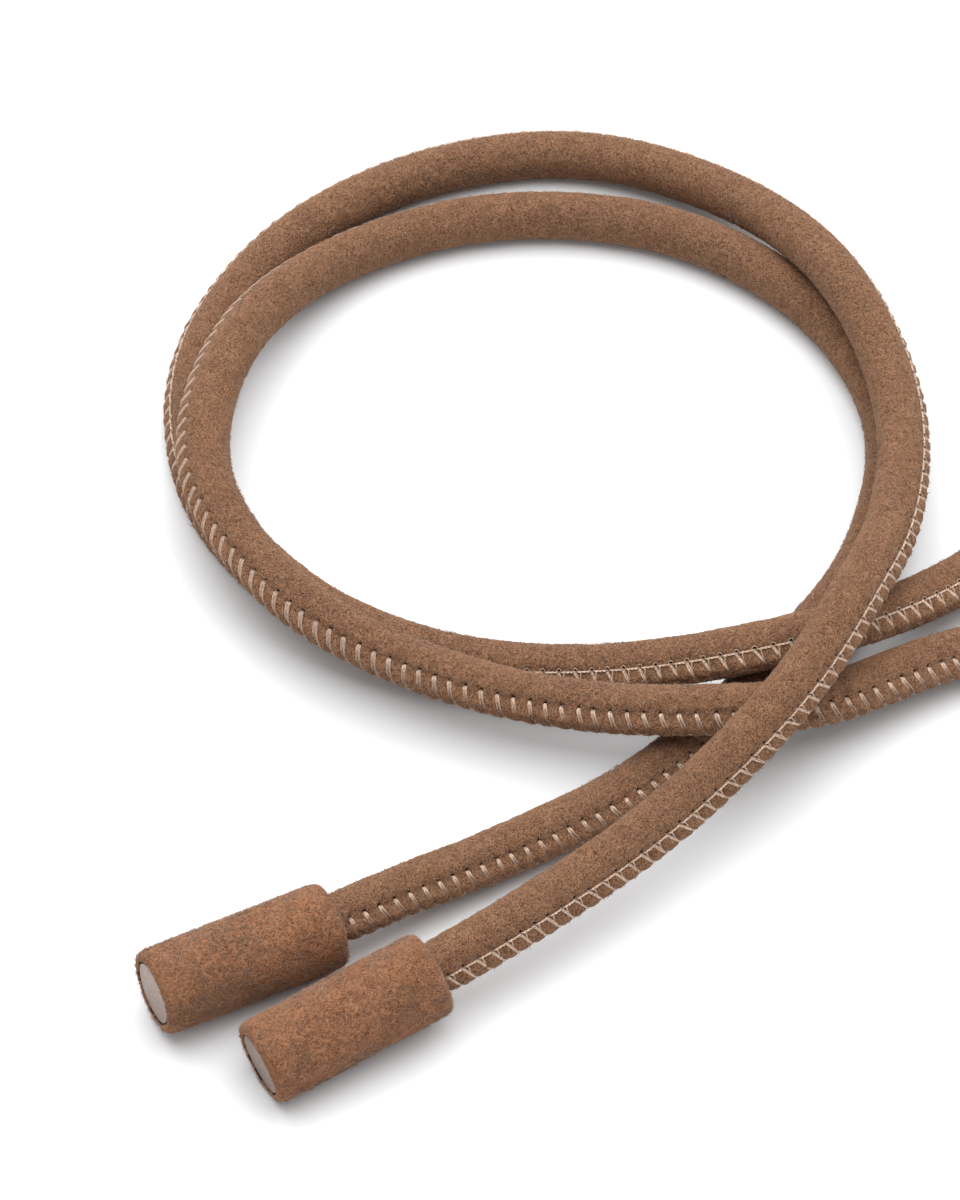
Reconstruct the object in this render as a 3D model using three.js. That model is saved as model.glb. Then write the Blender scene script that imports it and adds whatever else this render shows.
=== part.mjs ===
// An eyewear strap: one round sewn suede cord, folded in half and laid in a loop, with a
// suede-covered magnetic barrel on each end. Millimetres, +Z up, z = 0 is the table top.
// The origin is on the table, under the middle of the box round the two barrels.
import * as THREE from "three";

// ---- driving dimensions -------------------------------------------------------------

const CORD_R = 2.5; // suede tube round its core
const COVER_WALL = 0.7; // suede thickness
const CORE_GAP = 0.3;
const CORD_SIDES = 10;
const CORD_STEPS = 76;

const THREAD_R = 0.15;
const THREAD_SIDES = 8;
const THREAD_OUT = CORD_R + 2 * THREAD_R; // thread centre, from the cord's centre
const THREAD_INSET = 2; // the rows of stitches start and end this many steps into the cord
const STITCH_SPREAD = 34; // degrees from the seam's edge to either row of stitches

const BARREL_R = 4.45;
const BARREL_L = 20;
const RIM = 0.6; // chamfer on the sleeve's two rims, and the depth of its turned-in lips
const SLEEVE_WALL = 0.75;
const FACE_OPENING_R = 3.35; // hole in the front lip, where the magnet shows
const MOUTH_R = 3.15; // hole in the rear lip, where the cord goes in
const BARREL_SEGMENTS = 48;

const MAGNET_R = 3.175; // quarter-inch disc magnet
const MAGNET_T = 3;
const MAGNET_RECESS = 0.15;

const CUP_R = 3.58;
const CUP_WALL = 0.26; // round the magnet
const SOCKET_WALL = 0.38; // round the cord
const CUP_FRONT = 0.95;
const CUP_REAR = 19.2;
const BULKHEAD_FRONT = 3.6;
const BULKHEAD_REAR = 4.7;
const CORD_END = 5.4; // the cord stops this far behind the barrel's face

const FERRULE_INNER_R = 2.65;
const FERRULE_R = 3.0;
const FERRULE_WAIST = 0.12; // how far the crimp squeezes the middle in
const FERRULE_FRONT = 7;
const FERRULE_REAR = 15;
const FERRULE_RING = 1; // uncrimped ring at each end
const NECK = 4; // the cord runs on straight this far out of a barrel
const NECK_ASIDE = 0.35; // and leaves the mouth this far off its middle, to the left
const NECK_ABOVE = 0.3;

// Where the cord comes out of each barrel, which way the cord leaves it in plan, and how far
// the barrel's nose dips. Barrel a lies on its rear rim, with the nose held up a little by the
// cord; barrel b hangs from the cord, with its front rim on the table.
const BARREL_A = { mouth: [3.8, 8.4], turn: 26.7, dip: -2.9 };
const BARREL_B = { mouth: [14.0, 1.7], turn: 29.9, dip: 4.5 };

// The cord's centreline from barrel a to barrel b.
const ROUTE = [
  // tail a comes down on to the table, and once round the loop
  [11.2, 12.9, 4.1], [19.6, 17.4, 2.95], [35.2, 26.8, 2.65], [48.3, 40.1, 2.65],
  [58.6, 54.3, 2.65], [61.9, 72.0, 2.65], [54.9, 87.1, 2.65], [40.3, 97.6, 2.65],
  [22.0, 100.1, 2.65], [5.0, 94.4, 3.3], [-6.6, 80.5, 7.3], [-9.9, 62.0, 8.1],
  [-0.3, 45.9, 7.8],
  // over tail a
  [15.4, 37.1, 6.6], [30.5, 32.9, 7.2], [41.3, 31.8, 8.3], [53.0, 34.2, 6.1],
  // the fold in the middle of the cord
  [68.5, 42.5, 3.3], [88.0, 46.2, 2.8], [104.0, 50.5, 2.7], [111.0, 62.0, 2.7],
  [103.0, 73.0, 2.7], [87.5, 66.9, 2.8], [68.9, 51.5, 3.5],
  // back over tail a and round the loop, outside the first turn
  [60.5, 45.2, 6.1], [49.8, 40.3, 8.2], [35.0, 39.5, 4.9], [18.0, 41.5, 2.7],
  [2.2, 48.2, 2.65], [-9.4, 61.9, 2.65], [-11.4, 79.5, 2.65], [-3.1, 95.4, 2.65],
  [11.8, 105.5, 2.65], [29.5, 108.5, 2.65], [45.9, 101.6, 4.1], [56.9, 88.0, 7.8],
  // tail b, on top of the pile and down to its barrel
  [62.6, 70.8, 8.0], [61.4, 54.3, 10.2], [57.5, 44.3, 12.5], [50.5, 31.9, 12.2],
  [36.5, 18.1, 8.0],
];

// Which way the seam's edge points, at distances along the cord: degrees from the cord's
// right-hand side (0) through straight up (90) to its left-hand side (180). The cord rolls
// half a turn in the fold, so the seam stays on the outside of both turns of the loop.
const SEAM_TURN = [
  [0, 5], [70, 5], [105, -20], [130, -20], [150, 0], [170, 0], [195, -6], [212, -8],
  [221, 2], [231, 8], [250, 5], [325, 5], [340, 15], [402, 160], [420, 166], [455, 168],
  [500, 194], [515, 194], [525, 200], [555, 184], [595, 185], [615, 206], [635, 194], [740, 193],
];

const SUEDE = { color: 0x91694f, roughness: 0.95, metalness: 0 };
const BARREL_SUEDE = { color: 0x966e52, roughness: 0.95, metalness: 0 };
const COTTON = { color: 0x6b5040, roughness: 0.9, metalness: 0 };
const THREAD = { color: 0xc8a58c, roughness: 0.6, metalness: 0 };
const STEEL = { color: 0x9a9a9a, roughness: 0.4, metalness: 1 };
const MAGNET = { color: 0xa8968a, roughness: 0.35, metalness: 1 };

// ---- the cord -----------------------------------------------------------------------

const UP = new THREE.Vector3(0, 0, 1);

function barrelAxis({ turn, dip }) {
  const plan = THREE.MathUtils.degToRad(turn);
  const rise = THREE.MathUtils.degToRad(dip);
  const flat = Math.cos(rise);
  return new THREE.Vector3(flat * Math.cos(plan), flat * Math.sin(plan), Math.sin(rise));
}

// The centre of a barrel's face: its lowest point, on one of its rims, touches the table.
function barrelFace(barrel) {
  const axis = barrelAxis(barrel);
  const flat = Math.hypot(axis.x, axis.y);
  const lowest = axis.z < 0 ? BARREL_L - RIM : RIM;
  const faceZ = BARREL_R * flat - lowest * axis.z;
  const mouth = new THREE.Vector3(...barrel.mouth, faceZ + BARREL_L * axis.z);
  return mouth.addScaledVector(axis, -BARREL_L);
}

// The cord's straight stretch in a barrel and its neck, from the cord's end outwards.
function barrelPoints(barrel) {
  const axis = barrelAxis(barrel);
  const face = barrelFace(barrel);
  const left = UP.clone().cross(axis).normalize();
  const slack = left.multiplyScalar(NECK_ASIDE).addScaledVector(UP, NECK_ABOVE);
  const crimped = [CORD_END, FERRULE_REAR].map((d) => face.clone().addScaledVector(axis, d));
  const neck = [BARREL_L, BARREL_L + NECK].map((d) => {
    return face.clone().addScaledVector(axis, d).add(slack);
  });
  return [...crimped, ...neck];
}

function cordCurve() {
  const free = ROUTE.map((point) => new THREE.Vector3(...point));
  return new THREE.CatmullRomCurve3([
    ...barrelPoints(BARREL_A),
    ...free,
    ...barrelPoints(BARREL_B).reverse(),
  ]);
}

function seamTurnAt(distance) {
  const next = SEAM_TURN.findIndex(([d]) => d > distance);
  if (next < 0) return SEAM_TURN.at(-1)[1];
  const [d0, a0] = SEAM_TURN[Math.max(next - 1, 0)];
  const [d1, a1] = SEAM_TURN[next];
  return d1 > d0 ? THREE.MathUtils.mapLinear(distance, d0, d1, a0, a1) : a0;
}

// A curve beside the cord: its row of stitches, `spread` degrees round from the seam's edge.
// Its parameter runs with the cord's length, so its steps stay beside the cord's own.
class StitchCurve extends THREE.Curve {
  constructor(cord, spread) {
    super();
    Object.assign(this, { cord, spread, inset: THREAD_INSET / CORD_STEPS });
  }

  getUtoTmapping(u) {
    return u;
  }

  getPoint(t) {
    const u = THREE.MathUtils.lerp(this.inset, 1 - this.inset, t);
    const along = this.cord.getTangentAt(u);
    const right = along.clone().cross(UP).normalize();
    const over = right.clone().cross(along);
    const turn = seamTurnAt(u * this.cord.getLength());
    const angle = THREE.MathUtils.degToRad(turn + this.spread);
    return this.cord
      .getPointAt(u)
      .addScaledVector(right, THREAD_OUT * Math.cos(angle))
      .addScaledVector(over, THREAD_OUT * Math.sin(angle));
  }
}

function polygon(radius, sides, target = new THREE.Shape()) {
  const corners = Array.from({ length: sides }, (_, i) => {
    const angle = (2 * Math.PI * i) / sides;
    return new THREE.Vector2(radius * Math.cos(angle), radius * Math.sin(angle));
  });
  return target.setFromPoints(corners);
}

function sweep(shape, extrudePath, steps = CORD_STEPS) {
  return new THREE.ExtrudeGeometry(shape, { steps, extrudePath, bevelEnabled: false });
}

function coverGeometry(cord) {
  const section = polygon(CORD_R, CORD_SIDES);
  section.holes.push(polygon(CORD_R - COVER_WALL, CORD_SIDES, new THREE.Path()));
  return sweep(section, cord);
}

function coreGeometry(cord) {
  return sweep(polygon(CORD_R - COVER_WALL - CORE_GAP, CORD_SIDES), cord);
}

function threadGeometry(cord, spread) {
  const row = new StitchCurve(cord, spread);
  return sweep(polygon(THREAD_R, THREAD_SIDES), row, CORD_STEPS - 2 * THREAD_INSET);
}

// ---- the barrels: profiles are [radius, distance behind the face] --------------------

function lathe(profile) {
  const points = profile.map(([radius, along]) => new THREE.Vector2(radius, along));
  return new THREE.LatheGeometry(points, BARREL_SEGMENTS);
}

// A ring's profile, given anticlockwise and closed on its first point.
function ring(profile) {
  return lathe([...profile, profile[0]]);
}

function sleeveGeometry() {
  const inner = BARREL_R - SLEEVE_WALL;
  return ring([
    [FACE_OPENING_R, 0],
    [BARREL_R - RIM, 0],
    [BARREL_R, RIM],
    [BARREL_R, BARREL_L - RIM],
    [BARREL_R - RIM, BARREL_L],
    [MOUTH_R, BARREL_L],
    [MOUTH_R, BARREL_L - RIM],
    [inner, BARREL_L - RIM],
    [inner, RIM],
    [FACE_OPENING_R, RIM],
  ]);
}

function cupGeometry() {
  return lathe([
    [0, BULKHEAD_FRONT],
    [CUP_R - CUP_WALL, BULKHEAD_FRONT],
    [CUP_R - CUP_WALL, CUP_FRONT],
    [CUP_R, CUP_FRONT],
    [CUP_R, CUP_REAR],
    [CUP_R - SOCKET_WALL, CUP_REAR],
    [CUP_R - SOCKET_WALL, BULKHEAD_REAR],
    [0, BULKHEAD_REAR],
  ]);
}

function magnetGeometry() {
  return lathe([
    [0, MAGNET_RECESS],
    [MAGNET_R, MAGNET_RECESS],
    [MAGNET_R, MAGNET_RECESS + MAGNET_T],
    [0, MAGNET_RECESS + MAGNET_T],
  ]);
}

function ferruleGeometry() {
  const waist = FERRULE_R - FERRULE_WAIST;
  const squeezeFront = FERRULE_FRONT + FERRULE_RING;
  const squeezeRear = FERRULE_REAR - FERRULE_RING;
  return ring([
    [FERRULE_INNER_R, FERRULE_FRONT],
    [FERRULE_R, FERRULE_FRONT],
    [FERRULE_R, squeezeFront],
    [waist, squeezeFront + FERRULE_RING / 2],
    [waist, squeezeRear - FERRULE_RING / 2],
    [FERRULE_R, squeezeRear],
    [FERRULE_R, FERRULE_REAR],
    [FERRULE_INNER_R, FERRULE_REAR],
  ]);
}

// ---- assembly -----------------------------------------------------------------------

function piece(name, geometry, finish) {
  const mesh = new THREE.Mesh(geometry, new THREE.MeshStandardMaterial(finish));
  mesh.name = name;
  return mesh;
}

function barrel(placing, letter) {
  const group = new THREE.Group();
  group.add(
    piece(`suede_sleeve_${letter}`, sleeveGeometry(), BARREL_SUEDE),
    piece(`magnet_cup_${letter}`, cupGeometry(), STEEL),
    piece(`magnet_${letter}`, magnetGeometry(), MAGNET),
    piece(`crimp_ferrule_${letter}`, ferruleGeometry(), STEEL),
  );
  group.quaternion.setFromUnitVectors(new THREE.Vector3(0, 1, 0), barrelAxis(placing));
  group.position.copy(barrelFace(placing));
  return group;
}

function cord() {
  const curve = cordCurve();
  const group = new THREE.Group();
  group.add(
    piece("suede_cover", coverGeometry(curve), SUEDE),
    piece("core_cord", coreGeometry(curve), COTTON),
    piece("needle_thread", threadGeometry(curve, STITCH_SPREAD), THREAD),
    piece("looper_thread", threadGeometry(curve, -STITCH_SPREAD), THREAD),
  );
  return group;
}

const strap = new THREE.Group();
strap.add(cord(), barrel(BARREL_A, "a"), barrel(BARREL_B, "b"));

export default strap;
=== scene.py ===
"""Looks of the suede eyeglasses strap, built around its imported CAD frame.

Lengths are in millimetres, in the part's own frame, until the meshes are made. The
camera's and the light's places are in metres.
"""

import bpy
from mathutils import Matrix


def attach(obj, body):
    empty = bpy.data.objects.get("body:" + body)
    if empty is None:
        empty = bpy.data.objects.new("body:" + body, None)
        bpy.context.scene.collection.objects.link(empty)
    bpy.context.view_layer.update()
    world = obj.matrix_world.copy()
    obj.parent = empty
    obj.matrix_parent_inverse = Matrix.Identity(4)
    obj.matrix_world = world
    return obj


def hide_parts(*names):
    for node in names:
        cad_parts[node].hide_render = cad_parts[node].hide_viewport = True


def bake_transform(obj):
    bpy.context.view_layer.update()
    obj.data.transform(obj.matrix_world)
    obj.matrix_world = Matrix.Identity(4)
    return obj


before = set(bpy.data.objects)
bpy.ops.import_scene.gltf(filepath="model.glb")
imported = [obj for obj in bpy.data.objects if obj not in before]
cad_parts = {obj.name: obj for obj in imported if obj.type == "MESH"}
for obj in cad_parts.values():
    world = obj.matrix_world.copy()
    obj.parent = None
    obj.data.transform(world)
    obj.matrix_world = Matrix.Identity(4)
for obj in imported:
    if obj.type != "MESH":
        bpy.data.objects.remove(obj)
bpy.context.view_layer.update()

import math

import bpy
import numpy as np
from mathutils import Vector

MM = 0.001
RANDOM = np.random.default_rng(20)

# ---------------------------------------------------------------- camera
CAMERA_TARGET = Vector((0.0187, 0.0512, 0.0))
CAMERA_ELEVATION = math.radians(55)
CAMERA_DISTANCE = 0.75
CAMERA_LENS = 215.3

# ---------------------------------------------------------------- route of the cord
BARREL_LENGTH = 20.0
BARREL_RADIUS = 4.45
BARREL_RIM = 0.6  # how far from each end its straight side begins
CORD_END = 5.4  # how far behind a barrel's face the cord ends
FERRULE_REAR = 15.0
NECK = 4.0  # the cord runs on straight this far out of a barrel
NECK_ASIDE = 0.35  # and leaves the mouth this far off its middle, to the left
NECK_ABOVE = 0.3
# The place of each barrel's mouth seen from above, and its direction from face to mouth in
# degrees, about the vertical and upwards.
BARRELS = {
    "a": {"mouth": (3.8, 8.4), "turn": 26.7, "dip": -2.9},
    "b": {"mouth": (14.0, 1.7), "turn": 29.9, "dip": 4.5},
}
ROUTE = [  # of the cord between the barrels, from end a to end b
    (11.2, 12.9, 4.1), (19.6, 17.4, 2.95), (35.2, 26.8, 2.65), (48.3, 40.1, 2.65),
    (58.6, 54.3, 2.65), (61.9, 72.0, 2.65), (54.9, 87.1, 2.65), (40.3, 97.6, 2.65),
    (22.0, 100.1, 2.65), (5.0, 94.4, 3.3), (-6.6, 80.5, 7.3), (-9.9, 62.0, 8.1),
    (-0.3, 45.9, 7.8), (15.4, 37.1, 6.6), (30.5, 32.9, 7.2), (41.3, 31.8, 8.3),
    (53.0, 34.2, 6.1), (68.5, 42.5, 3.3), (88.0, 46.2, 2.8), (104.0, 50.5, 2.7),
    (111.0, 62.0, 2.7), (103.0, 73.0, 2.7), (87.5, 66.9, 2.8), (68.9, 51.5, 3.5),
    (60.5, 45.2, 6.1), (49.8, 40.3, 8.2), (35.0, 39.5, 4.9), (18.0, 41.5, 2.7),
    (2.2, 48.2, 2.65), (-9.4, 61.9, 2.65), (-11.4, 79.5, 2.65), (-3.1, 95.4, 2.65),
    (11.8, 105.5, 2.65), (29.5, 108.5, 2.65), (45.9, 101.6, 4.1), (56.9, 88.0, 7.8),
    (62.6, 70.8, 8.0), (61.4, 54.3, 10.2), (57.5, 44.3, 12.5), (50.5, 31.9, 12.2),
    (36.5, 18.1, 8.0),
]
# Which way the seam's edge points at distances along the cord: degrees from the cord's
# right-hand side, through up, to its left.
SEAM_TURN = [
    (0, 5), (70, 5), (105, -20), (130, -20), (150, -10), (172, -11), (188, -15), (202, -11),
    (212, -8), (221, 2), (231, 8), (250, 5), (325, 5), (340, 15), (402, 160), (420, 166),
    (455, 168), (500, 194), (515, 194), (525, 200), (555, 184), (595, 185), (615, 206),
    (635, 194), (740, 193),
]
STEP = 0.25  # spacing of the fine centreline
ROUTE_SMOOTHING = 2.5  # both are lengths along the cord
SEAM_SMOOTHING = 9.0


def barrel_axis(name):
    """Unit vector from the barrel's magnet face to its mouth."""
    turn, dip = math.radians(BARRELS[name]["turn"]), math.radians(BARRELS[name]["dip"])
    return np.array(
        [math.cos(dip) * math.cos(turn), math.cos(dip) * math.sin(turn), math.sin(dip)]
    )


def barrel_face(name):
    """Centre of the barrel's magnet face, with its lower rim on the table."""
    axis = barrel_axis(name)
    lowest = BARREL_LENGTH - BARREL_RIM if axis[2] < 0 else BARREL_RIM
    z = BARREL_RADIUS * math.hypot(axis[0], axis[1]) - lowest * axis[2]
    mouth = np.array([*BARRELS[name]["mouth"], z + BARREL_LENGTH * axis[2]])
    return mouth - BARREL_LENGTH * axis


def catmull_rom(points, steps=60):
    """Centripetal Catmull-Rom curve through the points."""
    p = np.array(points, float)
    p = np.vstack([2 * p[0] - p[1], p, 2 * p[-1] - p[-2]])
    out = []
    for p0, p1, p2, p3 in zip(p, p[1:], p[2:], p[3:]):
        t0 = 0.0
        t1 = t0 + math.sqrt(np.linalg.norm(p1 - p0))
        t2 = t1 + math.sqrt(np.linalg.norm(p2 - p1))
        t3 = t2 + math.sqrt(np.linalg.norm(p3 - p2))
        t = np.linspace(t1, t2, steps, endpoint=False)[:, None]
        a1 = ((t1 - t) * p0 + (t - t0) * p1) / (t1 - t0)
        a2 = ((t2 - t) * p1 + (t - t1) * p2) / (t2 - t1)
        a3 = ((t3 - t) * p2 + (t - t2) * p3) / (t3 - t2)
        b1 = ((t2 - t) * a1 + (t - t0) * a2) / (t2 - t0)
        b2 = ((t3 - t) * a2 + (t - t1) * a3) / (t3 - t1)
        out.append(((t2 - t) * b1 + (t - t1) * b2) / (t2 - t1))
    return np.vstack([*out, p[-2]])


def distances(points):
    """How far along a line of points each one is."""
    return np.r_[0, np.cumsum(np.linalg.norm(np.diff(points, axis=0), axis=1))]


def resample(points):
    """The same line with points one STEP apart."""
    along = distances(points)
    even = np.linspace(0, along[-1], int(round(along[-1] / STEP)) + 1)
    return np.stack([np.interp(even, along, points[:, k]) for k in range(3)], 1)


def smooth(values, sigma, step=STEP):
    """Gaussian smoothing along the first axis; the ends carry on straight."""
    half = int(4 * sigma / step)
    kernel = np.exp(-0.5 * (np.arange(-half, half + 1) * step / sigma) ** 2)
    kernel /= kernel.sum()
    v = np.asarray(values, float)
    v = v[:, None] if v.ndim == 1 else v
    head = 2 * v[0] - v[1 : half + 1][::-1]
    tail = 2 * v[-1] - v[-half - 1 : -1][::-1]
    padded = np.vstack([head, v, tail])
    out = np.stack([np.convolve(padded[:, k], kernel, "valid") for k in range(v.shape[1])], 1)
    return out[:, 0] if np.ndim(values) == 1 else out


def unit(v):
    """Vectors at unit length."""
    return v / np.linalg.norm(v, axis=-1, keepdims=True)


def make_centreline():
    """The cord's fine centreline: its places, distances along it, right-hand and upward
    directions, and which way the seam's edge points."""
    ends = {}
    for name in BARRELS:
        face, axis = barrel_face(name), barrel_axis(name)
        left = unit(np.cross([0.0, 0.0, 1.0], axis))
        slack = NECK_ASIDE * left + np.array([0.0, 0.0, NECK_ABOVE])
        ends[name] = [face + axis * d for d in (CORD_END, FERRULE_REAR)]
        ends[name] += [face + axis * d + slack for d in (BARREL_LENGTH, BARREL_LENGTH + NECK)]
    line = resample(catmull_rom(ends["a"] + list(ROUTE) + ends["b"][::-1]))
    line = resample(smooth(line, ROUTE_SMOOTHING))
    along = distances(line)
    tangent = unit(np.gradient(line, axis=0))
    right = unit(np.cross(tangent, [0.0, 0.0, 1.0]))
    up = np.cross(right, tangent)
    d, a = zip(*SEAM_TURN)
    seam = smooth(np.interp(along, d, a), SEAM_SMOOTHING)
    return line, along, right, up, seam


LINE, ALONG, RIGHT, UP, SEAM = make_centreline()
CORD_LENGTH = float(ALONG[-1])
MIDDLE = CORD_LENGTH / 2
MOUTH_AT = BARREL_LENGTH - CORD_END  # distance along the cord where it leaves a barrel


def at(table, s):
    """Looks a fine table up at distances s along the cord."""
    if table.ndim == 1:
        return np.interp(s, ALONG, table)
    return np.stack([np.interp(s, ALONG, table[:, k]) for k in range(table.shape[1])], -1)


# ---------------------------------------------------------------- section of the cover
CORD_RADIUS = 2.55
LOWEST = 0.03  # the suede is pressed flat this far above the table
PITCH = 1.68  # distance between stitches
HOLE_ANGLE = 37.0  # the row of the needle thread, degrees from the seam's edge
KNOT_ANGLE = -HOLE_ANGLE - 1.0  # the row of the looper thread, on the edge's other side
HOLE_ROWS = [(HOLE_ANGLE + 5.0, 0.0), (KNOT_ANGLE - 2.8, -0.2)]  # their angles, and how far along
HOLE_SIZE = 0.2
HOLE_DEPTH = 0.45
LIP_PROFILE = [  # degrees from the seam's edge, and the cover's radius there
    (0, 3.08), (8, 3.06), (13, 2.97), (18, 2.82), (23, 2.65), (29, 2.52), (35, 2.44),
    (40, 2.47), (47, 2.53), (56, 2.55), (180, 2.55),
]
# The cover's columns each side of the seam's edge, and how many more are on its round side.
SEAM_ANGLES = [0, 3, 6.5, 10.5, 14.5, 18.5, 22.5, 26.5, 30, 33.2, 36, 38.8, 42.5, 47, 53]
PLAIN_COLUMNS = 27
RING_OFFSETS = [0, 0.13, 0.28, 0.54, 0.84, 1.14, 1.40, 1.55]  # from each stitch to its rings
FIRST_STITCH = MOUTH_AT - 2.1
STITCHES = int((CORD_LENGTH - 2 * FIRST_STITCH) / PITCH)
STITCH_AT = FIRST_STITCH + PITCH * np.arange(STITCHES)
# How far along the cord a stitch has come when it reaches the seam's edge, in pitches.
LEAN = [(0, 0.42), (182, 0.45), (200, 0.95), (225, 0.95), (245, 0.5), (600, 0.5), (650, 0.42)]
# Every stitch is a little off: where its hole is, how it leans, and how deep it pulls.
SHIFT = RANDOM.normal(0, 0.045, (STITCHES, 2)).clip(-0.1, 0.1)
DEPTH = RANDOM.uniform(0.75, 1.2, STITCHES)
NEEDLE_AT = STITCH_AT + SHIFT[:, 0]  # where each stitch's needle hole is, along the cord
THREAD_CURVE = 1.7  # the thread leaves its needle hole steeply, then leans over
PINCH_LENGTH = 0.27  # how much of the lip a stitch pulls in, along the cord
LIP_SWELL = 0.08  # how far the lip stands up between two stitches
CLEFT_DEPTH, CLEFT_ANGLE = 0.08, 2.4  # the line where the suede's two edges meet
MOUTH_SQUEEZE = 0.35  # how much of the lip's height is left in a barrel's mouth


def lip_profile(angle):
    """Radius of the cover's smoothed outline at angles from the seam's edge, in degrees."""
    a, r = zip(*LIP_PROFILE)
    fine = np.linspace(-70, 180, 501)
    table = smooth(np.interp(np.abs(fine), a, r), 2.2, 0.5)
    return np.interp(np.abs(angle), fine, table)


def near_mouth(s):
    """1 along the open cord, falling to 0 where a barrel's mouth squeezes the seam."""
    away = np.minimum(s - MOUTH_AT, CORD_LENGTH - MOUTH_AT - s)
    t = np.clip((away + 0.5) / 2.5, 0, 1)
    return t * t * (3 - 2 * t)


def lean_at(s):
    """How far a stitch has come at the seam's edge, in pitches, at distances s."""
    return np.interp(s, *zip(*LEAN))


def thread_shift(s, angle):
    """How far the thread has come along the cord from its needle hole, at seam angles."""
    out = np.clip(1 - angle / HOLE_ANGLE, 0, 1) ** THREAD_CURVE * lean_at(s)
    back = np.clip(-angle / HOLE_ANGLE, 0, 1)
    return PITCH * (out + back * (1 - lean_at(s)))


def surface_radius(s, angle, holes=True):
    """Distance from the centreline to the cover's surface, at seam angles in degrees."""
    a = np.abs(angle)
    lip = lip_profile(angle)
    on_lip = np.clip((38 - a) / 12, 0, 1)
    away = s - thread_shift(s, angle) - FIRST_STITCH
    k = np.clip(np.round(away / PITCH).astype(int), 0, STITCHES - 1)
    away = away - k * PITCH - SHIFT[k, 0]
    pinch = np.exp(-((away / PINCH_LENGTH) ** 2))
    lip = lip + on_lip * (LIP_SWELL - np.where(angle < 10, 0.24, 0.12) * DEPTH[k] * pinch)
    lip = lip - CLEFT_DEPTH * np.exp(-((angle / CLEFT_ANGLE) ** 2)) * (1 - 0.6 * pinch)
    squeeze = near_mouth(s)
    r = CORD_RADIUS + (lip - CORD_RADIUS) * (MOUTH_SQUEEZE + (1 - MOUTH_SQUEEZE) * squeeze)
    if holes:
        r = r - HOLE_DEPTH * needle_holes(s, angle)
    return r


def needle_holes(s, angle):
    """1 in the middle of the needle holes of both rows, falling to 0 round them."""
    k = np.clip(np.round((s - FIRST_STITCH) / PITCH).astype(int), 0, STITCHES - 1)
    along = s - STITCH_AT[k] - SHIFT[k, 0]
    out = np.zeros(np.broadcast(s, angle).shape)
    for centre, shift in HOLE_ROWS:
        across = CORD_RADIUS * np.radians(angle - centre)
        out += np.exp(-(((along - shift) / HOLE_SIZE) ** 2) - (across / HOLE_SIZE) ** 2)
    return out * np.clip(DEPTH[k], 0.8, 1)


def outward(s, angle):
    """Unit vectors out of the cord at seam angles in degrees."""
    turn = np.radians(at(SEAM, s) + angle)[..., None]
    return np.cos(turn) * at(RIGHT, s) + np.sin(turn) * at(UP, s)


def place(s, angle, height=0.0):
    """Points above the cover's surface, as if it had no needle holes."""
    r = surface_radius(s, angle, holes=False) + height
    return at(LINE, s) + r[..., None] * outward(s, angle)


# ---------------------------------------------------------------- mesh helpers
def make_object(name, vertices, faces, material, attributes=None):
    """A smooth mesh object in metres, from vertices in mm and arrays of equal-sized faces."""
    mesh = bpy.data.meshes.new(name)
    vertices = np.asarray(vertices, float).reshape(-1, 3) * MM
    groups = [np.asarray(f, np.int32) for f in (faces if isinstance(faces, list) else [faces])]
    loops = np.concatenate([f.ravel() for f in groups])
    sizes = np.concatenate([np.full(len(f), f.shape[1], np.int32) for f in groups])
    mesh.vertices.add(len(vertices))
    mesh.vertices.foreach_set("co", vertices.astype(np.float32).ravel())
    mesh.loops.add(len(loops))
    mesh.loops.foreach_set("vertex_index", loops)
    mesh.polygons.add(len(sizes))
    mesh.polygons.foreach_set("loop_start", np.r_[0, np.cumsum(sizes)[:-1]].astype(np.int32))
    mesh.update(calc_edges=True)
    mesh.validate()
    mesh.shade_smooth()
    for key, values in (attributes or {}).items():
        values = np.asarray(values, np.float32)
        if values.ndim == 3:
            layer = mesh.attributes.new(key, "FLOAT_VECTOR", "POINT")
            layer.data.foreach_set("vector", values.ravel())
        else:
            layer = mesh.attributes.new(key, "FLOAT", "POINT")
            layer.data.foreach_set("value", values.ravel())
    obj = bpy.data.objects.new(name, mesh)
    obj.data.materials.append(material)
    bpy.context.scene.collection.objects.link(obj)
    return obj


def grid_faces(rows, columns, wrap_rows=False):
    """Quads of a grid whose columns wrap round, and its rows too if asked."""
    i = np.arange(rows if wrap_rows else rows - 1)[:, None]
    j = np.arange(columns)[None, :]
    i2, j2 = (i + 1) % rows, (j + 1) % columns
    quads = np.stack(
        [i * columns + j, i * columns + j2, i2 * columns + j2, i2 * columns + j], -1
    )
    return quads.reshape(-1, 4)


def end_faces(rows, columns):
    """One face over each end of a grid whose columns wrap round."""
    return np.array([np.arange(columns)[::-1], (rows - 1) * columns + np.arange(columns)])


def grid_noise(rows, columns, sigma_rows, sigma_columns):
    """Smooth noise of unit size on a grid, which wraps round both ways."""
    white = RANDOM.normal(size=(rows, columns))
    fr = np.fft.fftfreq(rows)[:, None]
    fc = np.fft.fftfreq(columns)[None, :]
    low = np.exp(
        -2 * (math.pi * fr * sigma_rows) ** 2 - 2 * (math.pi * fc * sigma_columns) ** 2
    )
    out = np.fft.ifft2(np.fft.fft2(white) * low).real
    return out / out.std()


TUBE_SIDES = 5


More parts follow.
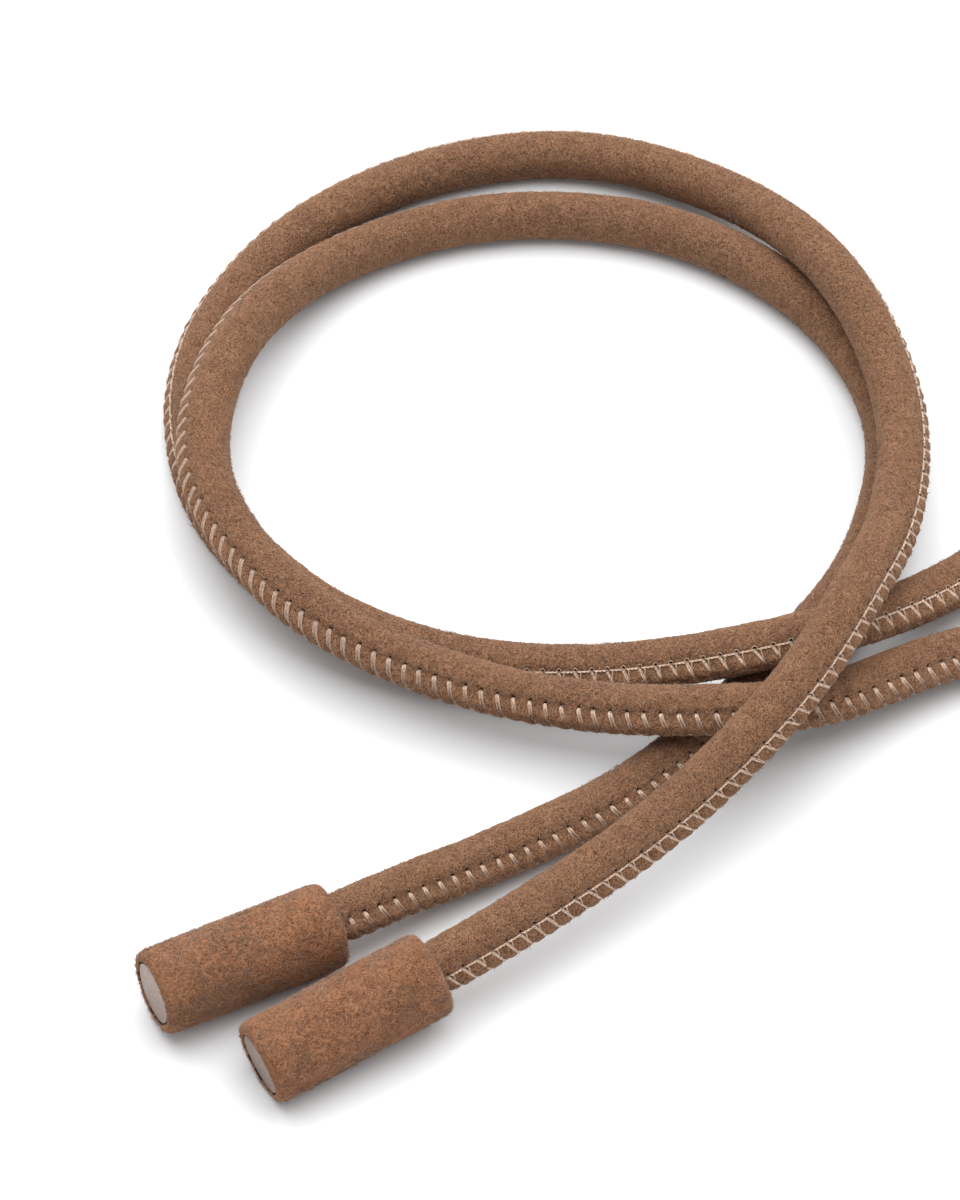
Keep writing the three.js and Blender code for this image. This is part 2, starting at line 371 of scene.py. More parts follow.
def tubes(paths, normals, radius):
    """Closed tubes along equal-length paths (count, steps, 3): vertices and faces."""
    count, steps, _ = paths.shape
    sides = TUBE_SIDES
    tangent = unit(np.gradient(paths, axis=1))
    side = unit(np.cross(tangent, normals))
    above = np.cross(side, tangent)
    turn = np.arange(sides) * 2 * math.pi / sides
    radius = np.broadcast_to(radius, (count, steps))[..., None, None]
    ring = np.cos(turn)[:, None] * above[:, :, None] + np.sin(turn)[:, None] * side[:, :, None]
    vertices = (paths[:, :, None] + radius * ring).reshape(-1, 3)
    base = np.arange(count)[:, None] * steps * sides
    quads = (grid_faces(steps, sides)[None] + base[..., None]).reshape(-1, 4)[:, ::-1]
    first = np.arange(sides)
    last = (steps - 1) * sides + np.arange(sides)[::-1]
    caps = np.concatenate([base + first[None], base + last[None]])
    return vertices, [quads, caps]


def merge(parts):
    """Joins (vertices, [face groups]) parts into one."""
    vertices, groups, n = [], [], 0
    for v, faces in parts:
        vertices.append(v)
        groups += [f + n for f in faces]
        n += len(v)
    return np.vstack(vertices), groups


FIBRE_FOOT = 0.05  # how deep a fibre's foot is in the suede


def fibres(roots, normals, directions, length, width):
    """Tiny closed spikes: one four-faced sliver of nap at every root."""
    side = unit(np.cross(directions, normals))
    above = np.cross(side, directions)
    w = width[:, None]
    foot = roots - FIBRE_FOOT * normals
    vertices = np.stack(
        [foot + side * w, foot - side * w * 0.5 + above * w * 0.87,
         foot - side * w * 0.5 - above * w * 0.87, roots + directions * length[:, None]], 1
    )
    base = np.arange(len(roots))[:, None] * 4
    faces = np.concatenate([base + f for f in ((0, 2, 1), (0, 1, 3), (1, 2, 3), (2, 0, 3))])
    return vertices.reshape(-1, 3), faces


# ---------------------------------------------------------------- materials
class Nodes:
    """A small helper for building one node material."""

    def __init__(self, name):
        self.material = bpy.data.materials.new(name)
        self.material.use_nodes = True
        self.tree = self.material.node_tree
        self.shader = self.tree.nodes["Principled BSDF"]
        self.place = self.add("ShaderNodeTexCoord").outputs["Object"]

    def add(self, kind, **inputs):
        """A new node; an underscore in an input's name stands for a space."""
        node = self.tree.nodes.new(kind)
        for key, value in inputs.items():
            self.set(node.inputs[key.replace("_", " ")], value)
        return node

    def set(self, socket, value):
        """Links a socket into another, or gives it a plain value."""
        if isinstance(value, bpy.types.NodeSocket):
            self.tree.links.new(value, socket)
        else:
            socket.default_value = value

    def noise(self, scale, detail=2.0, roughness=0.5, distortion=0.0, vector=None):
        """Noise whose features are about `scale` mm across."""
        node = self.add(
            "ShaderNodeTexNoise", Vector=vector or self.place, Scale=1 / (scale * MM),
            Detail=detail, Roughness=roughness, Distortion=distortion,
        )
        return node.outputs["Fac"]

    def ramp(self, value, low, high, out_low=0.0, out_high=1.0):
        """A value taken from the range low to high to another range, and held inside it."""
        node = self.add("ShaderNodeMapRange", Value=value)
        node.clamp = True
        limits = {"From Min": low, "From Max": high, "To Min": out_low, "To Max": out_high}
        for key, limit in limits.items():
            node.inputs[key].default_value = limit
        return node.outputs["Result"]

    def mix(self, factor, a, b):
        """Colour a where the factor is 0, and b where it is 1."""
        node = self.tree.nodes.new("ShaderNodeMix")
        node.data_type = "RGBA"
        self.set(node.inputs[0], factor)
        self.set(node.inputs[6], a)
        self.set(node.inputs[7], b)
        return node.outputs[2]

    def math(self, operation, a, b):
        """The result of a sum on two values."""
        node = self.tree.nodes.new("ShaderNodeMath")
        node.operation = operation
        self.set(node.inputs[0], a)
        self.set(node.inputs[1], b)
        return node.outputs[0]

    def attribute(self, name, output="Fac"):
        """One of the mesh's own attributes."""
        node = self.add("ShaderNodeAttribute")
        node.attribute_name = name
        return node.outputs[output]

    def stretched(self, rotation, stretch):
        """Coordinates stretched along a turned axis, so noise comes out as strokes."""
        turn = self.add("ShaderNodeMapping", Vector=self.place)
        turn.inputs["Rotation"].default_value = rotation
        turn.inputs["Scale"].default_value = stretch
        return turn.outputs["Vector"]

    def bump(self, height, distance, strength=1.0, normal=None):
        """A normal roughened by a height, `distance` mm from its lowest to its highest."""
        node = self.add("ShaderNodeBump", Height=height, Strength=strength, Distance=distance * MM)
        if normal is not None:
            self.set(node.inputs["Normal"], normal)
        return node.outputs["Normal"]


def linear(c):
    """One channel of an sRGB colour, 0 to 255, as linear light."""
    c /= 255
    return c / 12.92 if c <= 0.04045 else ((c + 0.055) / 1.055) ** 2.4


def rgb(r, g, b):
    """An sRGB colour as the linear one that a shader takes."""
    return (linear(r), linear(g), linear(b), 1.0)


HAIR_WIDTH = 0.055  # how far from its middle value a field still counts as a hair
# Painted shade for the needle holes and the magnet gap, and the colour of a sleeve's butt join
# line.
PAINTED_SHADE_AND_JOIN_COLOUR = rgb(26, 15, 10)
SHEEN_COLOUR = rgb(204, 164, 134)
THREAD_UNDER_NAP = rgb(100, 70, 50)
WORN_METAL = rgb(112, 97, 88)


def nap_field(n, lie, size, stretch, curl, curl_size):
    """Noise drawn out along one lie of the hairs, with a slow curl."""
    slow = n.add("ShaderNodeTexNoise", Vector=n.place, Scale=1 / (curl_size * MM), Detail=1.0)
    push = n.tree.nodes.new("ShaderNodeVectorMath")
    push.operation = "MULTIPLY_ADD"
    n.set(push.inputs[0], slow.outputs["Color"])
    push.inputs[1].default_value = (curl * MM,) * 3
    n.set(push.inputs[2], n.attribute(lie, "Vector"))
    way = n.add("ShaderNodeMapping", Vector=push.outputs["Vector"])
    way.inputs["Scale"].default_value = (stretch, 1.0, 1.0)
    return n.noise(size, 2.0, 0.55, 0.0, way.outputs["Vector"])


def hairs(n, field, width):
    """Thin curved lines, where a field crosses its middle value."""
    off = n.add("ShaderNodeMath", Value=n.math("SUBTRACT", field, 0.5))
    off.operation = "ABSOLUTE"
    return n.ramp(off.outputs[0], 0.0, width, 1.0, 0.0)


def suede_material(name, tones, hair, stretch, patch):
    """Suede: a mottled ground under light hairs that wind both ways over it.

    `hair` is the hairs' width and `patch` the ground's mottling, in mm. `stretch` is how
    wide a hair is for its length.
    """
    dark, middle, light, deep, tip = tones
    n = Nodes(name)
    one = nap_field(n, "lie_one", hair, stretch, 0.8, 1.4)
    two = nap_field(n, "lie_two", hair * 1.15, stretch, 0.9, 1.1)
    lie = n.math("MULTIPLY", n.math("ADD", one, two), 0.5)
    blotch = n.noise(patch, 3.0, 0.55, 0.6)
    wide = n.noise(patch * 5, 2.0, 0.5)
    colour = n.mix(n.ramp(blotch, 0.36, 0.66), dark, middle)
    colour = n.mix(n.ramp(wide, 0.35, 0.7, 0.0, 0.25), colour, light)
    colour = n.mix(n.math("MULTIPLY", n.attribute("edge"), 0.4), colour, light)
    colour = n.mix(n.ramp(lie, 0.47, 0.37, 0.0, 0.16), colour, deep)
    colour = n.mix(n.ramp(lie, 0.45, 0.58, 0.0, 0.6), colour, light)
    strand = n.math("MAXIMUM", hairs(n, one, HAIR_WIDTH), hairs(n, two, HAIR_WIDTH))
    paler = n.ramp(blotch, 0.32, 0.6, 0.68, 1.0)
    colour = n.mix(n.math("MULTIPLY", strand, paler), colour, tip)
    # Painted shade in the needle holes and the magnet gap; on the sleeves also the butt join's dark
    # line.
    colour = n.mix(n.ramp(n.attribute("painted_shade_and_join"), 0.28, 0.5), colour, PAINTED_SHADE_AND_JOIN_COLOUR)
    n.set(n.shader.inputs["Base Color"], colour)
    n.shader.inputs["Roughness"].default_value = 0.95
    n.shader.inputs["Specular IOR Level"].default_value = 0.12
    n.shader.inputs["Sheen Weight"].default_value = 0.45
    n.shader.inputs["Sheen Roughness"].default_value = 0.4
    n.shader.inputs["Sheen Tint"].default_value = SHEEN_COLOUR
    normal = n.bump(blotch, 0.1, 0.4)
    normal = n.bump(n.math("ADD", lie, n.math("MULTIPLY", strand, 0.25)), 0.07, 1.0, normal)
    n.set(n.shader.inputs["Normal"], normal)
    return n.material


def fibre_material(name, dark, light):
    """The loose fibres of the nap, each of its own shade."""
    n = Nodes(name)
    n.set(n.shader.inputs["Base Color"], n.mix(n.attribute("shade"), dark, light))
    n.shader.inputs["Roughness"].default_value = 0.9
    n.shader.inputs["Specular IOR Level"].default_value = 0.1
    n.shader.inputs["Sheen Weight"].default_value = 0.2
    return n.material


def thread_material(name, dark, light):
    """Sewing thread, dulled where the nap lies over it."""
    n = Nodes(name)
    ply = n.noise(0.12, 2.0, 0.6, 0.3, n.stretched((0.4, 0.3, 0.6), (1.0, 0.35, 1.0)))
    colour = n.mix(n.ramp(ply, 0.38, 0.66), dark, light)
    n.set(n.shader.inputs["Base Color"], n.mix(n.attribute("shown"), THREAD_UNDER_NAP, colour))
    n.shader.inputs["Roughness"].default_value = 0.6
    n.shader.inputs["Specular IOR Level"].default_value = 0.3
    n.shader.inputs["Sheen Weight"].default_value = 0.3
    n.set(n.shader.inputs["Normal"], n.bump(ply, 0.04, 0.8))
    return n.material


def metal_material(name, base, roughness):
    """Satin metal with faint worn patches."""
    n = Nodes(name)
    wear = n.noise(0.4, 4.0, 0.6)
    n.set(n.shader.inputs["Base Color"], n.mix(n.ramp(wear, 0.35, 0.7, 0.0, 0.3), base, WORN_METAL))
    n.set(n.shader.inputs["Roughness"], n.ramp(wear, 0.3, 0.7, roughness - 0.06, roughness + 0.08))
    n.shader.inputs["Metallic"].default_value = 1.0
    n.set(n.shader.inputs["Normal"], n.bump(wear, 0.01, 0.4))
    return n.material


def cotton_material(name, dark, light):
    """The soft yarn of the cord's filler."""
    n = Nodes(name)
    yarn = n.noise(0.2, 2.0, 0.5, 0.3, n.stretched((0.2, 0.4, 0.3), (1.0, 0.4, 1.0)))
    n.set(n.shader.inputs["Base Color"], n.mix(n.ramp(yarn, 0.35, 0.7), dark, light))
    n.shader.inputs["Roughness"].default_value = 0.9
    n.set(n.shader.inputs["Normal"], n.bump(yarn, 0.08, 0.8))
    return n.material


# ---------------------------------------------------------------- the cord
HAIR_WIND = 0.75  # how far round the cord the nap's lie goes for each step along it


def section_angles():
    """Angles of the cover's columns from the seam's edge, -180 to 180 degrees."""
    half = SEAM_ANGLES[1:]
    rest = np.linspace(half[-1], 360 - half[-1], PLAIN_COLUMNS + 2)[1:-1]
    angles = [0, *half, *rest, *[360 - a for a in half[::-1]]]
    return (np.array(angles, float) + 180) % 360 - 180


def ring_places():
    """Distances along the cord of all the cover's rings, bunched at the needle holes."""
    rings = (STITCH_AT[:, None] + np.array(RING_OFFSETS)[None]).ravel()
    return rings[(rings > FIRST_STITCH) & (rings < CORD_LENGTH - FIRST_STITCH)]


TUCK = 0.985  # where the halves of the cover overlap, one end is this much smaller


def make_cover(suede):
    """The suede cover as two halves that meet unseen in the fold."""
    s, angles = ring_places(), section_angles()
    rows, columns = len(s), len(angles)
    grid_s, grid_a = s[:, None] + 0 * angles, angles[None] + 0 * s[:, None]
    r = surface_radius(grid_s, grid_a)
    body = np.clip((np.abs(grid_a) - 20) / 30, 0.25, 1)
    # The filler's lumps, which the seam holds back, then the suede's own, coarse and fine.
    r = r + 0.035 * grid_noise(rows, columns, 14, 3.5) * body
    r = r + 0.018 * grid_noise(rows, columns, 2.5, 1.0)
    r = r + 0.022 * grid_noise(rows, columns, 0.8, 0.6)
    # Painted shade in the needle holes, over the holes that the cover really has.
    painted_shade_and_join = needle_holes(grid_s, grid_a)
    lies = hair_lies(grid_s, CORD_RADIUS, np.radians(grid_a))
    worn = (0.7 + 0.3 * grid_noise(rows, columns, 2, 1)).clip(0, 1)
    edge = np.clip((21 - np.abs(grid_a)) / 9, 0, 1) * worn
    points = at(LINE, grid_s) + r[..., None] * outward(grid_s, grid_a)
    points[..., 2] = np.maximum(points[..., 2], LOWEST)
    cut = int(np.searchsorted(s, MIDDLE))
    halves = {}
    for name, rings in (("a", np.arange(0, cut + 2)), ("b", np.arange(cut - 1, rows))):
        p = points[rings].copy()
        tucked = -1 if name == "a" else 0
        middle = at(LINE, s[rings[tucked]])
        p[tucked] = middle + (p[tucked] - middle) * TUCK
        faces = [grid_faces(len(rings), columns), end_faces(len(rings), columns)]
        values = {"painted_shade_and_join": painted_shade_and_join, "edge": edge, **lies}
        values = {key: value[rings] for key, value in values.items()}
        obj = make_object(f"suede_cover_{name}", p, faces, suede, values)
        halves[name] = {"obj": obj, "path": at(LINE, s[rings]) * MM}
    return halves


def hair_lies(along, radius, turn):
    """Coordinates wound two ways round a rod, so hairs drawn along them stay in its surface."""
    out = {}
    for name, wind in (("lie_one", HAIR_WIND / radius), ("lie_two", -HAIR_WIND / radius)):
        wound = turn + wind * along
        out[name] = np.stack([along, radius * np.cos(wound), radius * np.sin(wound)], -1) * MM
    return out


# The nap's fibres: how many, how far they stray from its lie in radians, their length (its
# scale and limits in mm, and how much of it the ones that stand up have), and their width.
CORD_FIBRES = {
    "count": 48000, "stray": 0.9, "scale": 0.085, "limits": (0.15, 0.8), "standing": 0.55,
    "width": (0.025, 0.048),
}
SLEEVE_FIBRES = {
    "count": 15000, "stray": 0.8, "scale": 0.11, "limits": (0.2, 1.0), "standing": 0.5,
    "width": (0.02, 0.04),
}
FIBRE_LOWEST = 0.02


def grow_fibres(name, kind, root, axes, swirl, material):
    """Fibres on a surface: `axes` are along it, round it and out of it at every root, and
    `swirl` is the nap's lie there, as a turn from along to round."""
    along, round_, normal = axes
    count = kind["count"]
    lie = swirl + RANDOM.normal(0, kind["stray"], count)
    lift = RANDOM.uniform(0.06, 0.22, count) + 0.8 * RANDOM.uniform(0, 1, count) ** 3
    flat = np.cos(lie)[:, None] * along + np.sin(lie)[:, None] * round_
    direction = unit(np.cos(lift)[:, None] * flat + np.sin(lift)[:, None] * normal)
    length = RANDOM.gamma(6.0, kind["scale"], count).clip(*kind["limits"])
    length *= np.where(lift > 0.3, kind["standing"], 1)
    width = RANDOM.uniform(*kind["width"], count)
    vertices, faces = fibres(root, normal, direction, length, width)
    vertices[:, 2] = np.maximum(vertices[:, 2], FIBRE_LOWEST)
    shade = np.repeat(RANDOM.beta(2, 2, count), 4)
    return make_object(name, vertices, faces, material, {"shade": shade})


def make_nap(material):
    """Loose fibres of the suede's nap, as real slivers, in two halves."""
    out = {}
    start = MOUTH_AT + 0.1
    for name, low, high in (("a", start, MIDDLE), ("b", MIDDLE, CORD_LENGTH - start)):
        s = RANDOM.uniform(low, high, CORD_FIBRES["count"])
        angle = RANDOM.uniform(-180, 180, CORD_FIBRES["count"])
        root = place(s, angle)
        along = unit(place(s + 0.05, angle) - root)
        round_ = unit(place(s, angle + 1.0) - root)
        normal = unit(np.cross(round_, along))
        normal *= np.sign((normal * outward(s, angle)).sum(-1, keepdims=True))
        swirl = np.sin(s * 0.31 + 1.7 * np.sin(np.radians(angle) * 2)) * 1.2
        axes = along, round_, normal
        out[name] = grow_fibres(f"suede_nap_{name}", CORD_FIBRES, root, axes, swirl, material)
    return out


# One wrap of the needle thread, from its hole (0) over the seam's edge to its knot (1): each
# strand's radius, how far the two strands lie apart, and how much of them the nap leaves bare.
WHIP_RADIUS = [
    (0, 0.09), (0.05, 0.13), (0.16, 0.13), (0.35, 0.085), (0.6, 0.08), (0.88, 0.1), (1, 0.14),
]
WHIP_APART = [
    (0, 0.07), (0.08, 0.12), (0.2, 0.13), (0.4, 0.17), (0.55, 0.05), (0.8, 0.09), (1, 0.05),
]
WHIP_SHOWN = [(0, 1), (0.12, 1), (0.22, 0.3), (0.5, 0.05), (0.62, 0.6), (0.75, 1), (1, 1)]
# Along the cord: how much of what the nap covers it leaves bare after all, how bright the
# thread is, and how much thicker it lies.
BARE = [
    (0, 0.0), (90, 0.05), (180, 0.9), (232, 0.9), (248, 0.4), (275, 0.25), (400, 0.1),
    (520, 0.2), (600, 0.9),
]
WHIP_LIT = [(0, 1), (150, 1), (175, 0.6), (238, 0.6), (262, 1)]
WHIP_THICK = [(0, 1), (150, 1), (180, 1.35), (235, 1.35), (258, 1)]
WHIP_FROM, WHIP_TO = HOLE_ANGLE + 2.0, KNOT_ANGLE + 1.0  # the angles where it goes in
WHIP_HEIGHT = -0.26  # of the ends of a wrap, in the holes
WHIP_RISE = 0.30  # how far the rest of it is above them
WHIP_BURIED = 0.11  # how much deeper it lies where the nap covers it


def make_whips(material):
    """The thread that wraps over the seam's edge: two strands at every stitch."""
    out = {}
    t = np.linspace(0, 1, 21)
    first, second = np.clip(1 - 2 * t, 0, 1), np.clip(2 * t - 1, 0, 1)
    radius = np.interp(t, *zip(*WHIP_RADIUS))
    apart = np.interp(t, *zip(*WHIP_APART))
    shown = np.interp(t, *zip(*WHIP_SHOWN))
    dip = np.clip(np.minimum(t, 1 - t) / 0.05, 0, 1)
    before = STITCH_AT[:-1] < MIDDLE
    for name, chosen in (("a", before), ("b", ~before)):
        k = np.nonzero(chosen)[0]
        hole, knot = NEEDLE_AT[k][:, None], NEEDLE_AT[k + 1][:, None]
        edge = hole + (lean_at(hole) + 0.8 * SHIFT[k, 1][:, None]) * PITCH
        bare = shown + (1 - shown) * np.interp(hole, *zip(*BARE))
        thick = np.interp(hole, *zip(*WHIP_THICK))
        parts = []
        for side in (-1, 1):
            s = edge + (hole - edge) * (1 - (1 - first) ** THREAD_CURVE)
            s = s + (knot - edge) * second + side * apart * (1 + 2 * SHIFT[k, 1][:, None])
            angle = WHIP_FROM * first + WHIP_TO * second + 0 * s
            height = WHIP_HEIGHT + WHIP_RISE * dip - WHIP_BURIED * (1 - bare)
            path = place(s, angle, height)
            parts.append(tubes(path, outward(s, angle), radius * thick))
        vertices, faces = merge(parts)
        lit = bare * np.interp(hole, *zip(*WHIP_LIT))
        tint = np.repeat(np.tile(lit.ravel(), 2), TUBE_SIDES)
        out[name] = make_object(f"needle_thread_{name}", vertices, faces, material, {"shown": tint})
    return out


CHAIN_ANGLE = KNOT_ANGLE + 1.4  # where the chain lies, in degrees from the seam's edge
CHAIN_TWIST = 0.84  # its two plies go once round each other in this length
CHAIN_HEIGHT = 0.08  # of its middle over the suede
CHAIN_SIDEWAYS, CHAIN_UPWARD = 0.055, 0.05  # how far a ply swings as it goes round
KNOT_DEPTH = 0.17  # how far a knot pulls it in
CHAIN_RADIUS, EYELET_RADIUS, LEG_RADIUS = 0.082, 0.05, 0.075
EYELETS_TO = 560.0  # distance along the cord to which thread rings the holes
LEG_AT = 0.62  # of a pitch past its knot, the chain turns down towards the seam's edge
LEG_END = -7.0  # the angle where that leg ends


def chain_ply(ply, low, high):
    """One ply of the chain as a tube, pulled in at every knot, and how bare it is."""
    s = np.arange(low, high, PITCH / 12)[None]
    phase = ((s - FIRST_STITCH) / PITCH) % 1
    sunk = np.exp(-(((phase - 0.86) / 0.09) ** 2))
    twist = 2 * math.pi * s / CHAIN_TWIST + math.pi * ply
    angle = CHAIN_ANGLE + np.degrees(CHAIN_SIDEWAYS * np.cos(twist) / CORD_RADIUS)
    path = place(s, angle, CHAIN_HEIGHT + CHAIN_UPWARD * np.sin(twist) - KNOT_DEPTH * sunk)
    return tubes(path, outward(s, angle), CHAIN_RADIUS), 1 - sunk


def chain_eyelets(hole):
    """A loop of thread behind each needle hole, and how bare it is."""
    turn = np.linspace(0.02, 0.98, 9)[None] * math.pi + math.pi
    s = hole - 0.15 + 0.26 * np.cos(turn)
    angle = KNOT_ANGLE - 0.5 + np.degrees(0.33 * np.sin(turn) / CORD_RADIUS) + 0 * s
    path = place(s, angle, 0.04 + 0 * s)
    return tubes(path, outward(s, angle), EYELET_RADIUS), 0.75 + 0 * s


def chain_legs(hole, stray):
    """The rung from the chain towards the seam's edge at each stitch, and how bare it is."""
    t = np.linspace(0, 1, 8)[None]
    s = hole + LEG_AT * PITCH + 0.12 * t * (0.4 + 8 * stray)
    angle = CHAIN_ANGLE * (1 - t) + LEG_END * t + 0 * s
    path = place(s, angle, CHAIN_HEIGHT - 0.13 * t + 0 * s)
    return tubes(path, outward(s, angle), LEG_RADIUS), 1 - 0.75 * t + 0 * s


def make_chain(material):
    """The chain of looper thread along the other row, with a knot at every stitch."""
    out = {}
    for name, low, high in (("a", STITCH_AT[0], MIDDLE), ("b", MIDDLE, STITCH_AT[-1])):
        ringed = (STITCH_AT >= low) & (STITCH_AT < min(high, EYELETS_TO))
        each = (STITCH_AT >= low) & (STITCH_AT < high)
        parts, shown = zip(
            chain_ply(0, low, high), chain_ply(1, low, high),
            chain_eyelets(NEEDLE_AT[ringed][:, None]),
            chain_legs(NEEDLE_AT[each][:, None], SHIFT[each, 1][:, None]),
        )
        vertices, faces = merge(parts)
        tint = np.repeat(np.concatenate([values.ravel() for values in shown]), TUBE_SIDES)
        out[name] = make_object(f"looper_thread_{name}", vertices, faces, material, {"shown": tint})
    return out


CORE_SIDES = 24
CORE_RADIUS, CORE_LOBE = 1.18, 0.3  # its size between two plies, and how far a ply stands out
CORE_END = 2.0  # how far short of the cover's ends the filler stops
CORE_STEP = 0.8
CORE_TWIST = 9.0  # length along which a ply turns to the next one's place


def make_core(material):
    """The cotton filler inside the cover, three twisted plies, in two halves."""
    out = {}
    for name, low, high in (("a", CORE_END, MIDDLE), ("b", MIDDLE, CORD_LENGTH - CORE_END)):
        s = np.arange(low, high, CORE_STEP)[:, None]
        turn = np.linspace(0, 360, CORE_SIDES, endpoint=False)[None]
        ply = np.abs(np.cos(np.radians(turn * 1.5) - s * math.pi / CORE_TWIST))
        r = CORE_RADIUS + CORE_LOBE * ply
        s2, turn2 = s + 0 * turn, turn + 0 * s
        points = at(LINE, s2) + r[..., None] * outward(s2, turn2)
        faces = [grid_faces(len(s), CORE_SIDES), end_faces(len(s), CORE_SIDES)]
        out[name] = make_object(f"cotton_core_{name}", points, faces, material)
    return out


# ---------------------------------------------------------------- the barrels
SLEEVE_PROFILE = [  # distance behind the face and radius, once round the wall
    (0.70, 3.36), (0.45, 3.33), (0.22, 3.33), (0.08, 3.4), (0.0, 3.55), (0.0, 3.75),
    (0.06, 3.97), (0.2, 4.16), (0.45, 4.31), (0.85, 4.41), (1.4, 4.45),
    (18.8, 4.45), (19.3, 4.4), (19.68, 4.27), (19.9, 4.05), (19.99, 3.75), (19.99, 3.45),
    (19.92, 3.2), (19.76, 3.02), (19.5, 2.95), (19.3, 3.0), (19.26, 3.3), (19.24, 3.7),
    (1.0, 3.72), (0.74, 3.66), (0.71, 3.5),
]
SLEEVE_STEP = 0.17
SLEEVE_COLUMNS = 176
JOIN_TURN = 245.0  # the sleeve's butt join, underneath


MOUTH_GIVE, MOUTH_GIVE_ANGLE = 0.36, 24.0  # how the mouth gives way to the cord's seam
JOIN_DEPTH, JOIN_ANGLE = 0.09, 1.2
SLEEVE_LUMPS = [(0.03, 9), (0.022, 2.2), (0.022, 0.8)]  # their height, and width in columns
GAP_PAINTED_SHADE = 0.55  # painted shade between the turned-in suede and the magnet


def fine_profile():
    """The sleeve's closed profile with points a step apart on the parts that show."""
    p = np.array([*SLEEVE_PROFILE, SLEEVE_PROFILE[0]])
    out = []
    for a, b in zip(p, p[1:]):
        inner_wall = a[0] - b[0] > 2  # the only long part that runs back to the face
        n = 6 if inner_wall else max(1, round(np.linalg.norm(b - a) / SLEEVE_STEP))
        out += [a + (b - a) * j / n for j in range(n)]
    return np.array(out)


def on_inner_wall(x, r):
    """Whether places on the sleeve's profile are on the wall that lies against the cup."""
    return (r > 3.66) & (r < 3.73) & (x > 0.6) & (x < 19.3)


def barrel_frame(name):
    """Centre of the barrel's face, its axis, and its right-hand and upward directions."""
    axis = barrel_axis(name)
    right = unit(np.cross(axis, [0.0, 0.0, 1.0]))
    return barrel_face(name), axis, right, np.cross(right, axis)


def mouth_seam(name):
    """The seam's direction at the barrel's mouth, as a turn about the barrel's axis."""
    s = MOUTH_AT if name == "a" else CORD_LENGTH - MOUTH_AT
    _, _, right, up = barrel_frame(name)
    lip = outward(np.array([s]), np.array([0.0]))[0]
    return math.degrees(math.atan2(lip @ up, lip @ right))


def degrees_from(turn, centre):
    """Turns in degrees as seen from another one, -180 to 180."""
    return (turn - centre + 180) % 360 - 180


def make_sleeve(name, suede):
    """A barrel's suede sleeve, turned in round the magnet and at the cord's mouth."""
    profile = fine_profile()
    rows, columns = len(profile), SLEEVE_COLUMNS
    turn = np.linspace(0, 360, columns, endpoint=False)
    x, r = profile[:, :1] + 0 * turn, profile[:, 1:] + 0 * turn
    rough = np.clip((r - 3.3) / 0.4, 0.25, 1) * np.where(on_inner_wall(x, r), 0, 1)
    lump = sum(size * grid_noise(rows, columns, wide, wide) for size, wide in SLEEVE_LUMPS)
    slope = np.gradient(np.vstack([profile[-1:], profile, profile[:1]]), axis=0)[1:-1]
    normal = unit(np.stack([-slope[:, 1], slope[:, 0]], 1))
    x = x + rough * lump * normal[:, :1]
    r = r + rough * lump * normal[:, 1:]
    give = np.exp(-((degrees_from(turn, mouth_seam(name)) / MOUTH_GIVE_ANGLE) ** 2))[None]
    give = give * np.clip((x - 19.0) / 0.5, 0, 1) * np.clip((4.3 - r) / 1.2, 0, 1)
    r = r + MOUTH_GIVE * give
    join = np.exp(-((degrees_from(turn, JOIN_TURN) / JOIN_ANGLE) ** 2))[None] * (r > 4.2)
    r = r - JOIN_DEPTH * join
    face, axis, right, up = barrel_frame(name)
    a = np.radians(turn)[None, :, None]
    points = face + x[..., None] * axis + r[..., None] * (np.cos(a) * right + np.sin(a) * up)
    points[..., 2] = np.maximum(points[..., 2], LOWEST)
    rim = np.clip(1 - np.abs(x - 19.95) / 0.12, 0, 1) * np.clip((3.3 - r) / 0.3, 0, 1)
    # Painted shade on the turned-in suede where it meets the magnet.
    gap = np.where((x < 0.8) & (r < 3.4), GAP_PAINTED_SHADE, 0.0)
    front = x < BARREL_LENGTH / 2
    turned_in = np.minimum(BARREL_RADIUS - r, np.where(front, 1.2, 1.5))
    lies = hair_lies(
        x + np.where(front, -turned_in, turned_in), BARREL_RADIUS, a[..., 0] + 0 * x
    )
    # One attribute carries the butt join's dark line and the painted shade of the magnet gap.
    return make_object(
        f"suede_sleeve_{name}_visual", points, grid_faces(rows, columns, True), suede,
        {"edge": rim, "painted_shade_and_join": np.maximum(0.5 * join, gap), **lies},
    )


def make_sleeve_nap(name, material):
    """The longer nap of a barrel's suede."""
    profile = fine_profile()
    x, r = profile.T
    profile = profile[(r > 3.02) & ((x > 1.0) | (r > 3.5)) & ~on_inner_wall(x, r)]
    gap = np.linalg.norm(np.diff(profile, axis=0), axis=1)
    gap[gap > 0.5] = 0
    area = gap * profile[:-1, 1]
    count = SLEEVE_FIBRES["count"]
    pick = RANDOM.choice(len(area), count, p=area / area.sum())
    f = RANDOM.uniform(0, 1, count)[:, None]
    spot = profile[pick] * (1 - f) + profile[pick + 1] * f
    slope = unit(profile[pick + 1] - profile[pick])
    a = RANDOM.uniform(0, 2 * math.pi, count)[:, None]
    face, axis, right, up = barrel_frame(name)
    radial = np.cos(a) * right + np.sin(a) * up
    root = face + spot[:, :1] * axis + spot[:, 1:] * radial
    normal = -slope[:, 1:] * axis + slope[:, :1] * radial
    along = slope[:, :1] * axis + slope[:, 1:] * radial
    axes = along, np.cross(normal, along), normal
    swirl = 1.3 * np.sin(spot[:, 0] * 0.55 + 2.2 * np.sin(a[:, 0] * 2))
    return grow_fibres(f"sleeve_nap_{name}", SLEEVE_FIBRES, root, axes, swirl, material)


